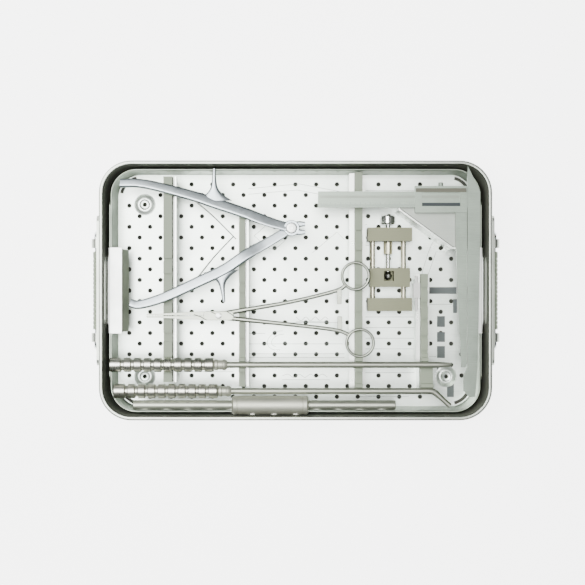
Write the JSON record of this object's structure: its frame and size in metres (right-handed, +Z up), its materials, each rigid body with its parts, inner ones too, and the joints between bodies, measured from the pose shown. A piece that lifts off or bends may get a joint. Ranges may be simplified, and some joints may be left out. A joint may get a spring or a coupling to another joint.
{
  "type": "instrument tray",
  "caption": "Steel instrument case with drop handles and a lift-out perforated tray whose rails hold pliers, forceps, awls, a caliper and a screw clamp.",
  "frame": {"origin": "on the table, under the centre of the case", "axes": "+X along the long side of the case, +Y across it towards the side where the pliers lie, +Z up"},
  "size_m": [0.4268, 0.263, 0.074],
  "materials": {
    "case_steel": "satin pressed stainless sheet",
    "tray_steel": "fine brushed stainless sheet",
    "handle_steel": "satin wire",
    "tool_steel": "satin surgical steel",
    "caliper_steel": "matt satin hardened steel",
    "clamp_alloy": "olive grey anodised",
    "silicone": "matt grey-green silicone",
    "white_plastic": "satin",
    "chrome": "polished"
  },
  "bodies": {
    "case": {"case_end_plate_left": "case_steel", "case_end_plate_right": "case_steel", "case_shell": "case_steel"},
    "carry_handle_left": {"carry_handle_left": "handle_steel", "carry_grip_left": "silicone"},
    "carry_handle_right": {"carry_handle_right": "handle_steel", "carry_grip_right": "silicone"},
    "inner_tray": {"clip_pin": "white_plastic", "comb_1": "silicone", "comb_2": "silicone", "comb_3": "silicone", "comb_4": "silicone", "corner_bracket": "tray_steel", "corner_pad": "silicone", "end_pad": "silicone", "end_pad_stand": "tray_steel", "rail_bracket_1": "tray_steel", "rail_bracket_2": "tray_steel", "rail_bracket_3": "tray_steel", "rail_bracket_4": "tray_steel", "retaining_clip": "white_plastic", "tray_end_plate_left": "tray_steel", "tray_end_plate_right": "tray_steel", "tray_floor": "tray_steel", "tray_foot_1": "silicone", "tray_foot_2": "silicone", "tray_foot_3": "silicone", "tray_foot_4": "silicone", "tray_grip_left": "tray_steel", "tray_grip_right": "tray_steel", "tray_walls": "tray_steel"},
    "pliers": {"pliers_lower_arm": "tool_steel", "pliers_pivot_pin": "tool_steel", "pliers_lower_spring": "tool_steel"},
    "pliers_upper": {"pliers_upper_arm": "tool_steel", "pliers_upper_spring": "tool_steel"},
    "forceps": {"forceps_fixed_half": "tool_steel", "forceps_screw": "tool_steel"},
    "forceps_moving": {"forceps_moving_half": "tool_steel"},
    "caliper": {"caliper_beam": "caliper_steel"},
    "caliper_slider": {"caliper_slider": "caliper_steel"},
    "caliper_lock": {"caliper_lock_screw": "caliper_steel"},
    "clamp": {"clamp_top_bar": "clamp_alloy", "clamp_lower_bar": "clamp_alloy", "clamp_bush": "clamp_alloy", "clamp_post_left": "tool_steel", "clamp_post_right": "tool_steel"},
    "clamp_carriage": {"clamp_moving_bar": "clamp_alloy"},
    "clamp_screw": {"clamp_screw": "chrome", "clamp_knob": "tool_steel"},
    "straight_awl": {"straight_awl_handle": "tool_steel", "straight_awl_ferrule": "tool_steel", "straight_awl_shaft": "tool_steel"},
    "hooked_awl": {"hooked_awl_handle": "tool_steel", "hooked_awl_ferrule": "tool_steel", "hooked_awl_shaft": "tool_steel"},
    "grip_rod": {"grip_rod": "tool_steel", "grip_rod_sleeve": "tool_steel"}
  },
  "joints": [
    {"name": "carry_handle_left_swing", "type": "hinge", "parent": "case", "child": "carry_handle_left", "pos_m": [-0.2045, 0, 0.053], "axis": [0, 1, 0], "range_deg": [0, 90]},
    {"name": "carry_handle_right_swing", "type": "hinge", "parent": "case", "child": "carry_handle_right", "pos_m": [0.2045, 0, 0.053], "axis": [0, -1, 0], "range_deg": [0, 90]},
    {"name": "tray_lift", "type": "slide", "parent": "case", "child": "inner_tray", "axis": [0, 0, 1], "range_m": [0, 0.12]},
    {"name": "pliers_lift", "type": "slide", "parent": "inner_tray", "child": "pliers", "axis": [0, 0, 1], "range_m": [0, 0.1]},
    {"name": "pliers_close", "type": "hinge", "parent": "pliers", "child": "pliers_upper", "pos_m": [-0.0041, 0.0638, 0.0583], "axis": [0, 0, 1], "range_deg": [0, 28], "deforming": ["pliers_upper_spring", "pliers_lower_spring"]},
    {"name": "forceps_lift", "type": "slide", "parent": "inner_tray", "child": "forceps", "axis": [0, 0, 1], "range_m": [0, 0.1]},
    {"name": "forceps_open", "type": "hinge", "parent": "forceps", "child": "forceps_moving", "pos_m": [-0.0787, -0.0258, 0.0573], "axis": [0, 0, 1], "range_deg": [0, 20]},
    {"name": "caliper_lift", "type": "slide", "parent": "inner_tray", "child": "caliper", "axis": [0, 0, 1], "range_m": [0, 0.1]},
    {"name": "caliper_jaw_slide", "type": "slide", "parent": "caliper", "child": "caliper_slider", "axis": [-1, 0, 0], "range_m": [0, 0.09]},
    {"name": "caliper_lock_turn", "type": "hinge", "parent": "caliper_slider", "child": "caliper_lock", "pos_m": [0.1475, 0.0924, 0.067], "axis": [0, 1, 0], "range_deg": [0, 180]},
    {"name": "clamp_lift", "type": "slide", "parent": "inner_tray", "child": "clamp", "axis": [0, 0, 1], "range_m": [0, 0.1]},
    {"name": "clamp_travel", "type": "slide", "parent": "clamp", "child": "clamp_carriage", "axis": [0, -1, 0], "range_m": [-0.013, 0.0038]},
    {"name": "clamp_screw_turn", "type": "hinge", "parent": "clamp_carriage", "child": "clamp_screw", "pos_m": [0.097, 0.0514, 0.0271], "axis": [0, -1, 0], "range_deg": [-2341, 685]},
    {"name": "straight_awl_lift", "type": "slide", "parent": "inner_tray", "child": "straight_awl", "axis": [0, 0, 1], "range_m": [0, 0.1]},
    {"name": "hooked_awl_lift", "type": "slide", "parent": "inner_tray", "child": "hooked_awl", "axis": [0, 0, 1], "range_m": [0, 0.1]},
    {"name": "grip_rod_lift", "type": "slide", "parent": "inner_tray", "child": "grip_rod", "axis": [0, 0, 1], "range_m": [0, 0.1]}
  ],
  "couplings": [
    {"joint": "clamp_screw_turn", "follows": "clamp_travel", "rad_per_m": 3141.6}
  ]
}
